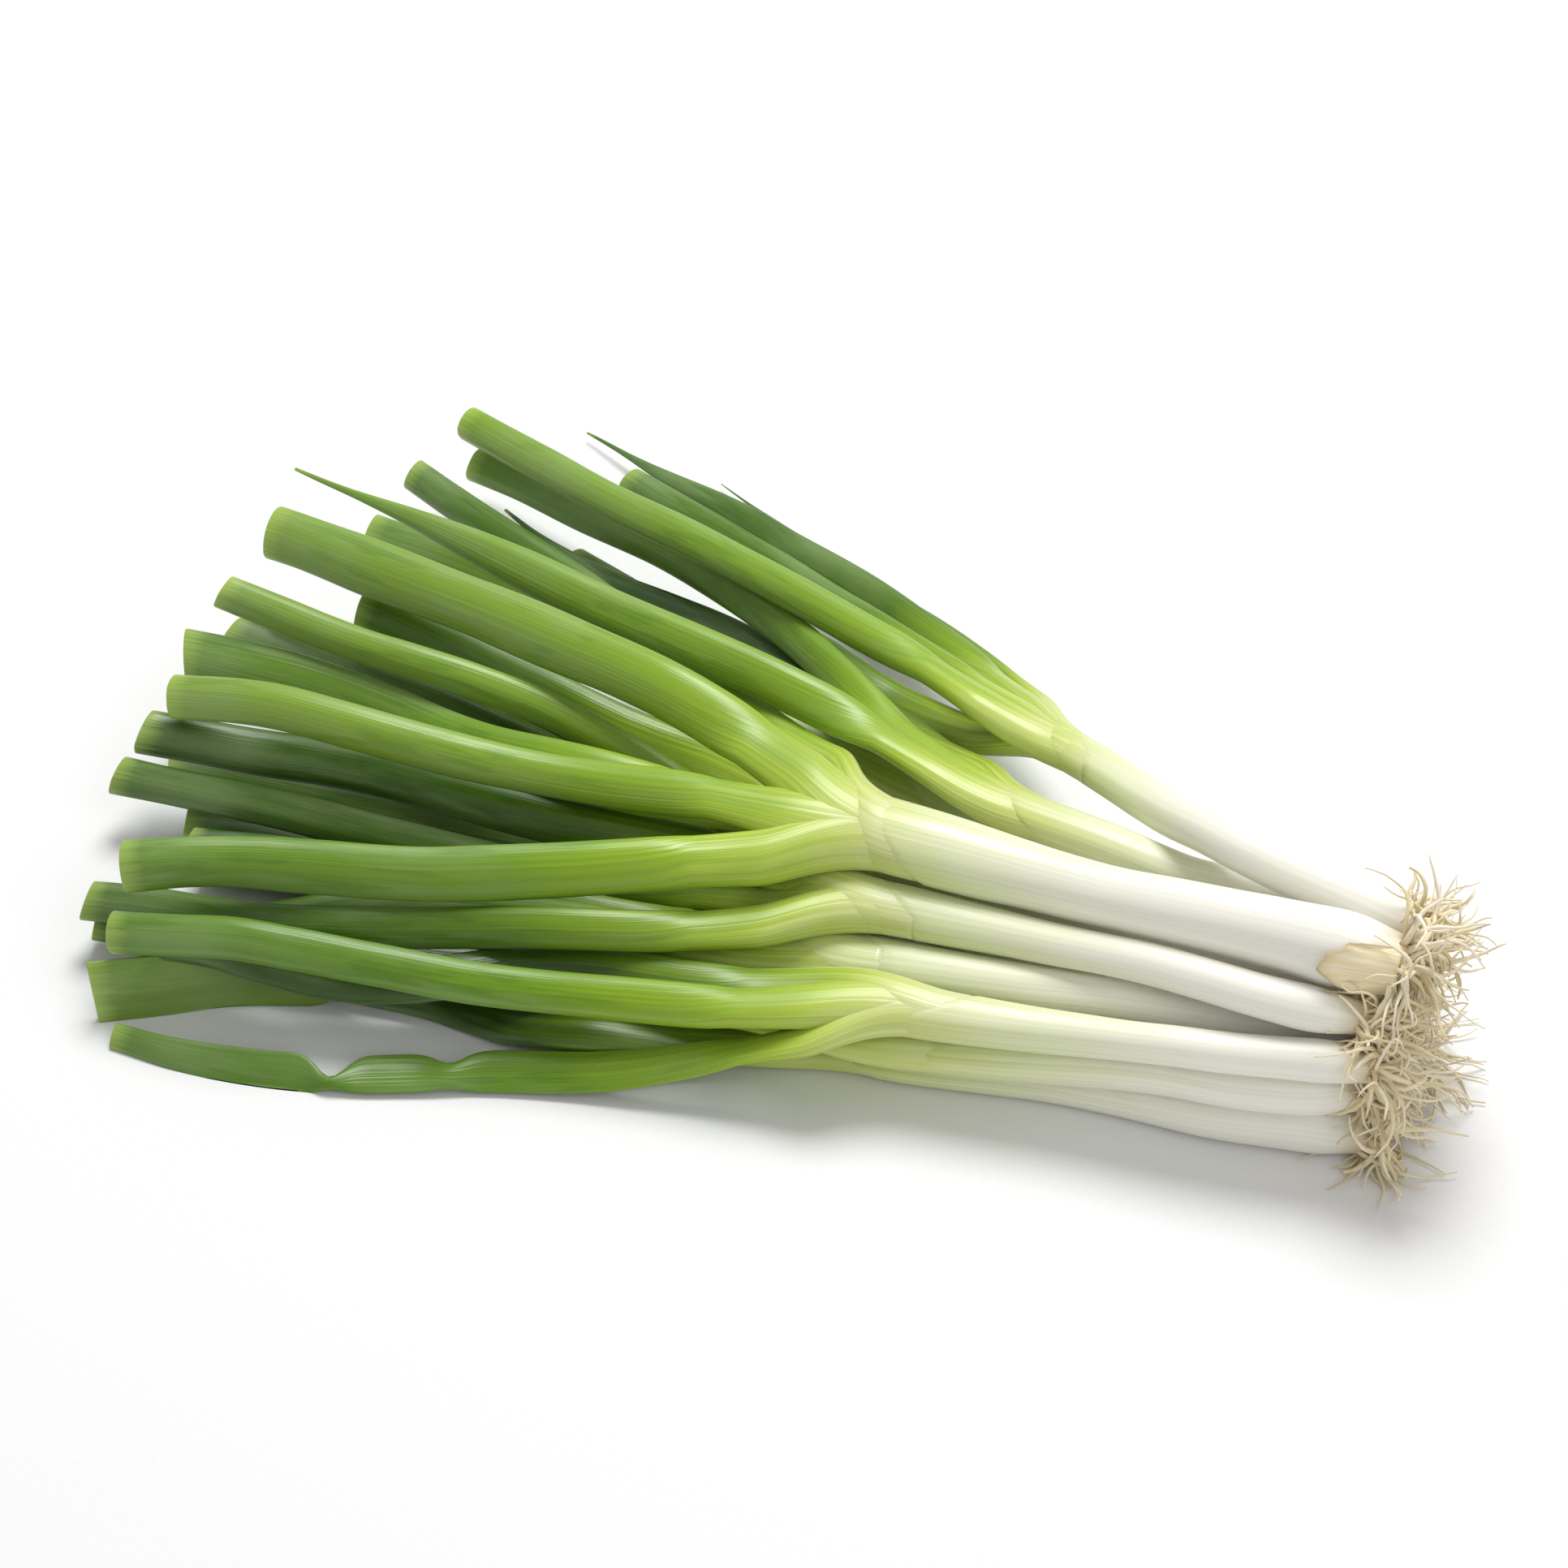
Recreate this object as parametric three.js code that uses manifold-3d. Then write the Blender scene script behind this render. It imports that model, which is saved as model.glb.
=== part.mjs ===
// A loose bunch of twelve spring onions lying on a flat surface.
// The roots point towards +X, the leaves fan out towards -X, +Y is the far side and +Z is up.
// Lengths are in millimetres, angles in degrees.
import * as THREE from 'three';
import Module from 'manifold-3d';

const wasm = await Module();
wasm.setup();

// ---- Driving dimensions -------------------------------------------------------------------------
const SHANK_LENGTH = 120; // root plate to neck, typical plant
const LEAF_LENGTH = 165; // neck to cut end, typical leaf
const TUFT_LENGTH = 19; // how far the roots stand out from the root plate
const BULB_RADIUS = 5.5; // shank just above the root plate
const WAIST_RADIUS = 4.7; // shank half way up
const NECK_RADIUS = 5.2; // shank where the leaves part
const LEAF_WIDTH = 9; // hollow leaf, across its wide side
const LEAF_THICKNESS = 6.2; // the same leaf through its thin side
const CLEARANCE = 0.3; // air left between pieces that touch

// ---- How the plants are drawn -------------------------------------------------------------------
const SHANK_STEPS = 10; // lofted stretches along a shank
const LEAF_STEPS = 12;
const TUFT_STEPS = 4;
const SHANK_SIDES = 10;
const LEAF_SIDES = 8;
const TUFT_SIDES = 8;

const NECK_SPREAD = 1.15; // a neck is wider along its fan of leaves
const NECK_PINCH = 0.85; // and thinner across it
const BULB_AT = 0.12; // widest place, as a part of the shank's length
const WAIST_AT = 0.5;
const PLATE_SHARE = 0.72; // root plate radius, as a part of the bulb's
const LEAF_FULL_AT = 0.3; // where a leaf reaches its full width
const OUTER_BASE_SHARE = 0.55; // least part of the neck's thickness that a leaf's base spans
const TIP_FROM = 0.62; // where a pointed leaf starts to narrow
const TIP_SHARE = 0.08; // what is left of the width at a pointed tip
const FLARE_FROM = 0.6; // where a flared leaf starts to widen
const FLARE_TO = 0.8; // and where it has its full width
const FLARE_WAIST = 0.5; // its width before that, as a part of the full width
const TUFT_PROFILE = [0.7, 0.95, 1.0, 0.9, 0.45]; // tuft radius along its length, in bulb radii

// Growth habit of every plant. plate is the root plate's place: x in mm, across and up in bulb radii.
// A heading list swings evenly from its first value, at the base, to its last, at the far end:
// yaw turns from -X towards +Y, lift rises from level. girth scales the bulb, waist and neck radii.
// fan is the roll of the neck, 0 when its leaves lie side by side on the level. Leaves are listed
// from the far or upper side of the fan to the near or lower one; long, wide and thick scale the
// leaf's length, width and thickness, roll is how far its far edge is raised.
const ONIONS = [
  {
    plate: [-5, 5.3, 8.0], long: 0.9, girth: [1.0, 1.06, 1.05], fan: -20,
    yaw: [34, 34, 62, 49], lift: [5, -11, -11],
    leaves: [
      { long: 0.94, wide: 0.45, thick: 0.5, yaw: [68, 54, 55],
        lift: [-12, -11, -7], roll: 30, pointed: true },
      { long: 1.16, wide: 0.95, thick: 0.7, yaw: [64, 50, 47],
        lift: [-12, -7, -7], roll: 30, pointed: true },
      { long: 0.99, wide: 0.85, thick: 0.7, yaw: [60, 50, 45], lift: [-12, -9, -3], roll: 30 },
      { long: 0.7, wide: 1.2, thick: 0.65, yaw: [30, 55, 48],
        lift: [-24, -7, -8], roll: 15, pointed: true },
      { long: 1.16, wide: 1.0, thick: 0.95, yaw: [47, 44, 43, 46], lift: [2, -5, -5], roll: 40 },
    ],
  },
  {
    plate: [-9, 7.3, 6.2], long: 0.75, girth: [1.0, 1.06, 1.05], fan: -15,
    yaw: [27, 20, 29, 39], lift: [4, -1, -8],
    leaves: [
      { long: 1.12, wide: 1.1, thick: 0.8, yaw: [65, 40, 42, 55],
        lift: [-16, -4, -4], roll: 25, pointed: true },
      { long: 1.22, wide: 1.05, thick: 0.95, yaw: [42, 64, 46, 37], lift: [-2, -9, -4], roll: 40 },
      { long: 1.22, wide: 1.15, thick: 0.95, yaw: [42, 34, 35, 28],
        lift: [5, 0, 4], roll: 45, pointed: true },
    ],
  },
  {
    plate: [-11, 3.3, 7.8], long: 1.04, girth: [1.5, 1.42, 1.5], fan: 15,
    yaw: [16, 27, 28, 28], lift: [5, -9, -4],
    leaves: [
      { long: 1.0, wide: 1.2, thick: 1.0, yaw: [62, 40, 29], lift: [-14, 0, -1], roll: 40 },
      { long: 1.03, wide: 1.5, thick: 1.25, yaw: [46, 33, 30], lift: [1, 2, -1], roll: 45 },
      { long: 0.99, wide: 1.15, thick: 1.0, yaw: [28, 13, 20, 17], lift: [-2, -1, -4], roll: 40 },
      { long: 0.96, wide: 1.3, thick: 1.2, yaw: [-7, -2, 4, 5], lift: [3, -5, -7], roll: 50 },
    ],
  },
  {
    plate: [-18, 2.4, 6.5], long: 0.97, girth: [0.86, 0.95, 1.1], fan: 15,
    yaw: [14, 25, 28, 14], lift: [3, -9, -3],
    leaves: [
      { long: 1.05, wide: 1.2, thick: 0.95, yaw: [33, 17, 21, 10], lift: [-13, 6, -5], roll: 40 },
      { long: 1.07, wide: 1.0, thick: 0.9, yaw: [12, 22, 17], lift: [-15, 0, -1], roll: 40 },
      { long: 1.03, wide: 1.05, thick: 0.95, yaw: [-6, 4, 12, 7], lift: [-3, -5, -3], roll: 45 },
    ],
  },
  {
    plate: [-16, 2.9, 5.1], long: 1.02, girth: [0.86, 1.0, 1.15], fan: 20,
    yaw: [2, 18, 21, 14], lift: [3, -9, -5],
    leaves: [
      { long: 0.89, wide: 1.15, thick: 0.8, yaw: [12, 19, 10], lift: [-5, -1, -3], roll: 35 },
      { long: 0.98, wide: 1.15, thick: 0.8, yaw: [14, 3, 15], lift: [-3, -2, -2], roll: 35 },
    ],
  },
  {
    plate: [-16, 1.6, 4.9], long: 0.86, girth: [0.82, 0.92, 1.05], fan: 15,
    yaw: [-3, 20, 11, 14], lift: [2, -10, 2],
    leaves: [
      { long: 1.02, wide: 1.1, thick: 0.8, yaw: [22, 4, 1], lift: [-15, 0, -4], roll: 30 },
      { long: 1.05, wide: 1.08, thick: 1.0, yaw: [4, 10, 20], lift: [-3, 0, -3], roll: 45 },
      { long: 1.05, wide: 0.85, thick: 0.55, yaw: [13, -4, -1, 27], lift: [-23, 0, 1], roll: 25 },
    ],
  },
  {
    plate: [-17, 1.6, 3.3], long: 0.84, girth: [0.96, 1.08, 1.0], fan: -10,
    yaw: [-5, 21, 9, 10], lift: [-2, -7, 3],
    leaves: [
      { long: 0.91, wide: 1.1, thick: 0.7, yaw: [20, 15, 10], lift: [-6, -1, 1], roll: 20 },
      { long: 1.08, wide: 1.5, thick: 0.7, yaw: [22, 8, -6], lift: [-2, 0, 0], roll: 55, flared: true },
    ],
  },
  {
    plate: [-15, 2.2, 1.3], long: 0.95, girth: [1.25, 0.92, 0.85], fan: 5,
    yaw: [-12, 18, 8, 22], lift: [-2, -2, 1],
    leaves: [
      { long: 0.78, wide: 1.1, thick: 0.7, yaw: [14, 19, 11], lift: [0, 0, 0], roll: 10 },
      { long: 0.66, wide: 1.1, thick: 0.7, yaw: [16, 12, 12], lift: [1, 0, 0], roll: 10 },
    ],
  },
  {
    plate: [-11, 6.9, 4.2], long: 1.07, girth: [0.9, 0.95, 1.0], fan: 15,
    yaw: [7, 17, 23, 21], lift: [4, 3, -4],
    leaves: [
      { long: 0.79, wide: 1.5, thick: 0.9, yaw: [39, 35, 31], lift: [-1, 0, 0], roll: 40 },
      { long: 0.97, wide: 1.4, thick: 0.85, yaw: [24, 28, 15], lift: [5, -3, 0], roll: 40 },
      { long: 0.95, wide: 0.9, thick: 0.85, yaw: [41, 27, 28, 26], lift: [4, 4, 6], roll: 45 },
    ],
  },
  {
    plate: [-11, 5.3, 1.5], long: 1.1, girth: [0.9, 0.9, 1.0], fan: 10,
    yaw: [16, 24, 27, 35], lift: [-2, 0, 0],
    leaves: [
      { long: 0.8, wide: 1.2, thick: 0.7, yaw: [36, 36, 37], lift: [0, 0, 0], roll: 20 },
      { long: 0.97, wide: 1.15, thick: 0.8, yaw: [29, 30, 23], lift: [2, 3, 2], roll: 30 },
      { long: 0.96, wide: 1.4, thick: 0.7, yaw: [25, 14, 17], lift: [-4, 0, 0], roll: 15 },
    ],
  },
  {
    plate: [-10, 6.7, 2.2], long: 1.07, girth: [0.9, 0.9, 1.0], fan: 20,
    yaw: [28, 38, 43, 43], lift: [-3, -3, 1],
    leaves: [
      { long: 0.7, wide: 0.8, thick: 0.7, yaw: [45, 44, 42], lift: [-2, 0, 0], roll: 20 },
      { long: 0.99, wide: 0.95, thick: 0.85, yaw: [40, 41, 47], lift: [8, 1, 0], roll: 30 },
    ],
  },
  {
    plate: [-13, 3.8, 1.3], long: 1.02, girth: [0.86, 0.9, 0.95], fan: 5,
    yaw: [8, 16, 20, 26], lift: [-2, 0, 0],
    leaves: [
      { long: 0.94, wide: 1.3, thick: 0.75, yaw: [22, 18, 9], lift: [-1, 0, 0], roll: 10 },
      { long: 0.89, wide: 1.2, thick: 0.7, yaw: [21, 14, 12], lift: [-1, 0, 0], roll: 10 },
    ],
  },
];

// ---- Colours ------------------------------------------------------------------------------------
const shankSkin = new THREE.MeshStandardMaterial({ color: 0xe4e6cf, roughness: 0.4, metalness: 0 });
const leafSkin = new THREE.MeshStandardMaterial({ color: 0x4e7a2c, roughness: 0.5, metalness: 0 });
const rootFibre = new THREE.MeshStandardMaterial({ color: 0xcdbf98, roughness: 0.9, metalness: 0 });

// ---- Strands: a spine of points with an oval section at each one ---------------------------------
const UP = new THREE.Vector3(0, 0, 1);
const radians = THREE.MathUtils.degToRad;

// The value at fraction t of an evenly spaced list, straight between neighbours.
function along(list, t) {
  const place = THREE.MathUtils.clamp(t, 0, 1) * (list.length - 1);
  const low = Math.min(Math.floor(place), list.length - 2);
  return THREE.MathUtils.lerp(list[low], list[low + 1], place - low);
}

// A unit vector from a yaw and a lift.
function heading(yaw, lift) {
  const level = Math.cos(radians(lift));
  return new THREE.Vector3(
    -level * Math.cos(radians(yaw)), level * Math.sin(radians(yaw)), Math.sin(radians(lift)));
}

// Points of a spine that starts at start and follows its heading lists for the given length.
function grow(start, length, yaws, lifts, steps) {
  const points = [start.clone()];
  for (let i = 0; i < steps; i += 1) {
    const t = (i + 0.5) / steps;
    const stride = heading(along(yaws, t), along(lifts, t)).multiplyScalar(length / steps);
    points.push(points[i].clone().add(stride));
  }
  return points;
}

// Tangent, side and top directions of a strand's section at point k. A leaf's first section lies
// flat on the end of its neck.
function frameAt(strand, k) {
  const last = strand.points.length - 1;
  const before = strand.points[Math.max(k - 1, 0)];
  const after = strand.points[Math.min(k + 1, last)];
  const tangent = after.clone().sub(before).normalize();
  if (strand.stem && k === 0) tangent.copy(strand.stem.frames.at(-1).tangent);
  const level = tangent.clone().cross(UP).normalize();
  const top = level.clone().cross(tangent);
  const roll = radians(strand.rolls[k]);
  const side = level.clone().multiplyScalar(Math.cos(roll)).addScaledVector(top, Math.sin(roll));
  return { tangent, side, top: side.clone().cross(tangent) };
}

// How far a section reaches from its spine in direction n.
function reach(strand, k, n) {
  const frame = strand.frames[k];
  return Math.hypot(strand.halfWidths[k] * n.dot(frame.side), strand.halfThicks[k] * n.dot(frame.top));
}

// One plant's root tuft and shank, on one spine that runs from the roots to the neck.
function makeStem(onion) {
  const [bulb, waist, neck] = [BULB_RADIUS, WAIST_RADIUS, NECK_RADIUS].map((r, i) => r * onion.girth[i]);
  const [x, across, up] = onion.plate;
  const plate = new THREE.Vector3(x, across * BULB_RADIUS, up * BULB_RADIUS);
  const roots = heading(onion.yaw[0], onion.lift[0]).multiplyScalar(-TUFT_LENGTH / TUFT_STEPS);
  const points = grow(plate, SHANK_LENGTH * onion.long, onion.yaw, onion.lift, SHANK_STEPS);
  const radii = points.map((p, i) => {
    const t = i / SHANK_STEPS;
    if (t < BULB_AT) return bulb * THREE.MathUtils.lerp(PLATE_SHARE, 1, Math.sqrt(t / BULB_AT));
    if (t < WAIST_AT) return THREE.MathUtils.lerp(bulb, waist, (t - BULB_AT) / (WAIST_AT - BULB_AT));
    return THREE.MathUtils.lerp(waist, neck, (t - WAIST_AT) / (1 - WAIST_AT));
  });
  const spread = points.map((p, i) => THREE.MathUtils.smoothstep(i / SHANK_STEPS, WAIST_AT, 1));
  for (let i = 1; i <= TUFT_STEPS; i += 1) {
    points.unshift(plate.clone().addScaledVector(roots, i));
    radii.unshift(BULB_RADIUS * Math.sqrt(onion.girth[0]) * TUFT_PROFILE[i]);
    spread.unshift(0);
  }
  return {
    points,
    halfWidths: radii.map((r, i) => r * THREE.MathUtils.lerp(1, NECK_SPREAD, spread[i])),
    halfThicks: radii.map((r, i) => r * THREE.MathUtils.lerp(1, NECK_PINCH, spread[i])),
    rolls: radii.map(() => onion.fan),
    trims: radii.map(() => 1),
  };
}

// Leaves leave the neck side by side across its fan, in their order, each with a share of its width.
function makeLeaves(onion, stem) {
  const end = stem.points.length - 1;
  const frame = stem.frames[end];
  const neckHalf = stem.halfWidths[end];
  const total = onion.leaves.reduce((sum, leaf) => sum + leaf.wide, 0);
  const offsets = new Map();
  let edge = neckHalf;
  for (const leaf of onion.leaves) {
    const share = (2 * neckHalf * leaf.wide) / total;
    offsets.set(leaf, edge - share / 2);
    edge -= share;
  }
  return onion.leaves.map((leaf) => {
    const offset = offsets.get(leaf);
    const start = stem.points[end].clone()
      .addScaledVector(frame.side, offset).addScaledVector(frame.tangent, CLEARANCE);
    const points = grow(start, LEAF_LENGTH * leaf.long, leaf.yaw, leaf.lift, LEAF_STEPS);
    const baseHalfThick = (neckHalf * leaf.wide) / total - CLEARANCE / 2;
    const span = Math.sqrt(1 - (offset / neckHalf) ** 2); // the neck is oval, so outer bases are narrower
    const baseHalfWidth = stem.halfThicks[end] * Math.max(span, OUTER_BASE_SHARE);
    const sections = points.map((p, k) => leafSection(leaf, k / LEAF_STEPS, baseHalfWidth, baseHalfThick));
    return {
      points, stem, offset,
      halfWidths: sections.map((section) => section.halfWidth),
      halfThicks: sections.map((section) => section.halfThick),
      rolls: sections.map((section) => THREE.MathUtils.lerp(onion.fan - 90, leaf.roll, section.opened)),
      trims: points.map(() => 1),
    };
  });
}

// A leaf starts as a slab of its neck and opens into a hollow, slightly flattened tube.
function leafSection(leaf, t, baseHalfWidth, baseHalfThick) {
  const opened = THREE.MathUtils.smoothstep(t, 0, LEAF_FULL_AT);
  const tip = leaf.pointed ? THREE.MathUtils.smoothstep(t, TIP_FROM, 1) : 0;
  const narrow = leaf.flared ? 1 - THREE.MathUtils.smoothstep(t, FLARE_FROM, FLARE_TO) : 0;
  const full = THREE.MathUtils.lerp(1, TIP_SHARE, tip);
  const halfWidth = (LEAF_WIDTH / 2) * leaf.wide * full * THREE.MathUtils.lerp(1, FLARE_WAIST, narrow);
  const halfThick = (LEAF_THICKNESS / 2) * leaf.thick * full;
  return {
    opened,
    halfWidth: THREE.MathUtils.lerp(baseHalfWidth, halfWidth, opened),
    halfThick: THREE.MathUtils.lerp(baseHalfThick, halfThick, opened),
  };
}

// ---- Settling: strands that meet move apart, and nothing sinks below the surface ------------------
const SETTLE_ROUNDS = 180;
const PUSH_SHARE = 0.45; // part of an overlap that each of the two strands gives way by in one round
const EVENING_PASSES = 2; // how often the pushes on a strand are averaged with their neighbours
const SIDEWAYS = 0.15; // strands ride over each other more readily than they shift sideways
const OVER = new THREE.Vector3(0, 0.74, -0.67); // the way that the pile slopes, from its top near edge
const BASE_STEPS = 2; // steps of a leaf's base that may touch its own shank
const NECK_STEPS = 3; // steps of the shank that they may touch
const PARALLEL = 1e-9; // two stretches closer to parallel than this meet half way along

// Closest points of segments a0-a1 and b0-b1, as fractions along each.
function closest(a0, a1, b0, b1) {
  const a = a1.clone().sub(a0);
  const b = b1.clone().sub(b0);
  const r = a0.clone().sub(b0);
  const [aa, bb, ab, ar, br] = [a.dot(a), b.dot(b), a.dot(b), a.dot(r), b.dot(r)];
  const across = aa * bb - ab * ab;
  let s = across > PARALLEL ? THREE.MathUtils.clamp((ab * br - ar * bb) / across, 0, 1) : 0.5;
  const t = THREE.MathUtils.clamp((ab * s + br) / bb, 0, 1);
  s = THREE.MathUtils.clamp((ab * t - ar) / aa, 0, 1);
  return [s, t];
}

function spreadPush(strand, k, t, move) {
  strand.moves[k].addScaledVector(move, 1 - t);
  strand.moves[k + 1].addScaledVector(move, t);
}

// Push two strands apart wherever their sections overlap.
function part(one, two) {
  for (let i = 0; i < one.points.length - 1; i += 1) {
    for (let j = 0; j < two.points.length - 1; j += 1) {
      if (one.middles[i].distanceTo(two.middles[j]) > one.spans[i] + two.spans[j]) continue;
      if (two.stem === one && j < BASE_STEPS && i >= one.spans.length - NECK_STEPS) continue;
      const [s, t] = closest(one.points[i], one.points[i + 1], two.points[j], two.points[j + 1]);
      const n = one.points[i].clone().lerp(one.points[i + 1], s)
        .sub(two.points[j].clone().lerp(two.points[j + 1], t));
      const distance = n.length();
      n.normalize();
      const [k, l] = [i + Math.round(s), j + Math.round(t)];
      const overlap = reach(one, k, n) + reach(two, l, n) + CLEARANCE - distance;
      if (overlap <= 0) continue;
      const over = n.dot(OVER);
      const way = n.clone().multiplyScalar(SIDEWAYS).addScaledVector(OVER, over * (1 - SIDEWAYS));
      const move = way.multiplyScalar((PUSH_SHARE * overlap) / way.dot(n));
      spreadPush(one, i, s, move);
      spreadPush(two, j, t, move.clone().negate());
    }
  }
}

// Refresh what the contact search needs after a strand has moved.
function survey(strand) {
  strand.frames = strand.points.map((p, k) => frameAt(strand, k));
  strand.moves = strand.points.map(() => new THREE.Vector3());
  strand.middles = strand.points.slice(1).map((p, k) => p.clone().add(strand.points[k]).multiplyScalar(0.5));
  strand.spans = strand.middles.map((m, k) => m.distanceTo(strand.points[k])
    + Math.max(strand.halfWidths[k], strand.halfWidths[k + 1], strand.halfThicks[k]));
  strand.box = new THREE.Box3().setFromPoints(strand.points)
    .expandByScalar(Math.max(...strand.halfWidths) + CLEARANCE);
}

// Move a strand by its pushes, evened out along its length so that it bends smoothly. A leaf's base
// only moves with its neck.
function bend(strand) {
  let moves = strand.moves;
  for (let pass = 0; pass < EVENING_PASSES; pass += 1) {
    moves = moves.map((move, k) => {
      const before = moves[Math.max(k - 1, 0)];
      const after = moves[Math.min(k + 1, moves.length - 1)];
      return before.clone().add(after).lerp(move.clone().multiplyScalar(2), 0.5).multiplyScalar(0.5);
    });
  }
  strand.points.forEach((point, k) => {
    if (k > 0 || !strand.stem) point.add(moves[k]);
  });
}

// Lift whatever is below the surface.
function rest(strand) {
  strand.points.forEach((point, k) => {
    const low = point.z - reach(strand, k, UP);
    if (low < 0) point.z -= low;
  });
}

// A leaf's base stays on its neck.
function tie(leaf) {
  const { stem } = leaf;
  const end = stem.points.length - 1;
  const frame = stem.frames[end];
  const base = stem.points[end].clone()
    .addScaledVector(frame.side, leaf.offset).addScaledVector(frame.tangent, CLEARANCE);
  const shift = base.sub(leaf.points[0]);
  leaf.points.forEach((point, k) => point.addScaledVector(shift, (1 - k / LEAF_STEPS) ** 2));
}

function settle(stems, leaves) {
  const strands = [...stems, ...leaves];
  for (let round = 0; round < SETTLE_ROUNDS; round += 1) {
    strands.forEach(survey);
    strands.forEach((one, i) => {
      strands.slice(i + 1).forEach((two) => {
        if (one.box.intersectsBox(two.box)) part(one, two);
      });
    });
    strands.forEach(bend);
    strands.forEach(rest);
    stems.forEach(survey);
    leaves.forEach(tie);
  }
  strands.forEach(survey);
}

// ---- Lofting --------------------------------------------------------------------------------------
// Vertices and triangles of the closed tube through a piece's sections, made thicker all round by
// grown. A piece starts startGap beyond its first section, clear of the piece before it.
function loft(piece, grown) {
  const { strand, first, last, sides } = piece;
  const positions = [];
  const add = (v) => positions.push(v.x, v.y, v.z);
  const gap = (k) => (k === first ? piece.startGap : 0);
  const centre = (k) => strand.points[k].clone().addScaledVector(strand.frames[k].tangent, gap(k));
  add(centre(first));
  for (let k = first; k <= last; k += 1) {
    const { side, top } = strand.frames[k];
    for (let i = 0; i < sides; i += 1) {
      const angle = (2 * Math.PI * i) / sides;
      const a = strand.halfWidths[k] * strand.trims[k] + grown;
      const b = strand.halfThicks[k] * strand.trims[k] + grown;
      add(centre(k).addScaledVector(side, a * Math.cos(angle)).addScaledVector(top, b * Math.sin(angle)));
    }
  }
  add(centre(last));
  const triangles = [];
  const rings = last - first;
  const tipVertex = 1 + (rings + 1) * sides;
  for (let i = 0; i < sides; i += 1) {
    const j = (i + 1) % sides;
    triangles.push(0, 1 + i, 1 + j);
    for (let k = 0; k < rings; k += 1) {
      const [low, high] = [1 + k * sides, 1 + (k + 1) * sides];
      triangles.push(low + i, high + i, low + j, low + j, high + i, high + j);
    }
    triangles.push(tipVertex, 1 + rings * sides + j, 1 + rings * sides + i);
  }
  return { positions: new Float32Array(positions), triangles: new Uint32Array(triangles) };
}

// ---- Easing: pieces that would still press into each other are narrowed there ---------------------
const EASE_ROUNDS = 40;
const EASE_STEP = 0.96; // what is left of a section's width after one round
const EASE_MARGIN = CLEARANCE / 4; // air kept between eased pieces

function solidOf(piece) {
  const { positions, triangles } = loft(piece, EASE_MARGIN);
  return new wasm.Manifold(new wasm.Mesh({ numProp: 3, vertProperties: positions, triVerts: triangles }));
}

// The ball around what two pieces share, or null where they share nothing.
function sharedBall(one, two) {
  if (!one.strand.box.intersectsBox(two.strand.box)) return null;
  const shared = one.solid.intersect(two.solid);
  if (shared.isEmpty()) return null;
  const { min, max } = shared.boundingBox();
  const box = new THREE.Box3(new THREE.Vector3(...min), new THREE.Vector3(...max));
  return box.getBoundingSphere(new THREE.Sphere());
}

function ease(pieces) {
  for (let round = 0; round < EASE_ROUNDS; round += 1) {
    for (const piece of pieces) piece.solid = solidOf(piece);
    const tight = new Map(pieces.map((piece) => [piece.strand, new Set()]));
    pieces.forEach((one, i) => {
      pieces.slice(i + 1).forEach((two) => {
        const ball = sharedBall(one, two);
        if (!ball) return;
        for (const { strand } of [one, two]) {
          strand.points.forEach((point, k) => {
            const span = strand.spans[Math.min(k, strand.spans.length - 1)];
            if (point.distanceTo(ball.center) < ball.radius + span) tight.get(strand).add(k);
          });
        }
      });
    });
    if ([...tight.values()].every((sections) => sections.size === 0)) return;
    for (const [strand, sections] of tight) {
      for (const k of sections) strand.trims[k] *= EASE_STEP;
    }
  }
}

// ---- The bunch --------------------------------------------------------------------------------------
const stems = ONIONS.map(makeStem);
stems.forEach(survey);
const fans = ONIONS.map((onion, i) => makeLeaves(onion, stems[i]));
settle(stems, fans.flat());

const pieces = [];
stems.forEach((strand, i) => {
  const plant = `onion_${String(i + 1).padStart(2, '0')}`;
  const neck = strand.points.length - 1;
  const tuft = { strand, first: 0, last: TUFT_STEPS, sides: TUFT_SIDES, startGap: 0 };
  const shank = { strand, first: TUFT_STEPS, last: neck, sides: SHANK_SIDES, startGap: CLEARANCE };
  pieces.push({ name: `${plant}_roots`, skin: rootFibre, ...tuft });
  pieces.push({ name: `${plant}_shank`, skin: shankSkin, ...shank });
  fans[i].forEach((leaf, j) => {
    const blade = { strand: leaf, first: 0, last: LEAF_STEPS, sides: LEAF_SIDES, startGap: 0 };
    pieces.push({ name: `${plant}_leaf_${j + 1}`, skin: leafSkin, ...blade });
  });
});
ease(pieces);

const bunch = new THREE.Group();
for (const piece of pieces) {
  const { positions, triangles } = loft(piece, 0);
  const geometry = new THREE.BufferGeometry();
  geometry.setAttribute('position', new THREE.BufferAttribute(positions, 3));
  geometry.setIndex(new THREE.BufferAttribute(triangles, 1));
  const mesh = new THREE.Mesh(geometry, piece.skin.clone());
  mesh.name = piece.name;
  bunch.add(mesh);
}

// The origin is under the middle of the bunch, on the surface that it lies on.
const box = new THREE.Box3().setFromObject(bunch);
bunch.position.set(-(box.min.x + box.max.x) / 2, -(box.min.y + box.max.y) / 2, -box.min.z);
bunch.updateMatrixWorld(true);

export default bunch;
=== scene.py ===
# A loose bunch of twelve spring onions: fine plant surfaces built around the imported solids.
# Lengths are in metres. Along a plant, "climb" is the distance from its neck: negative down the
# shank towards the roots, positive out along a leaf. "from_plate" is the distance from its root plate.
import math

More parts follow.
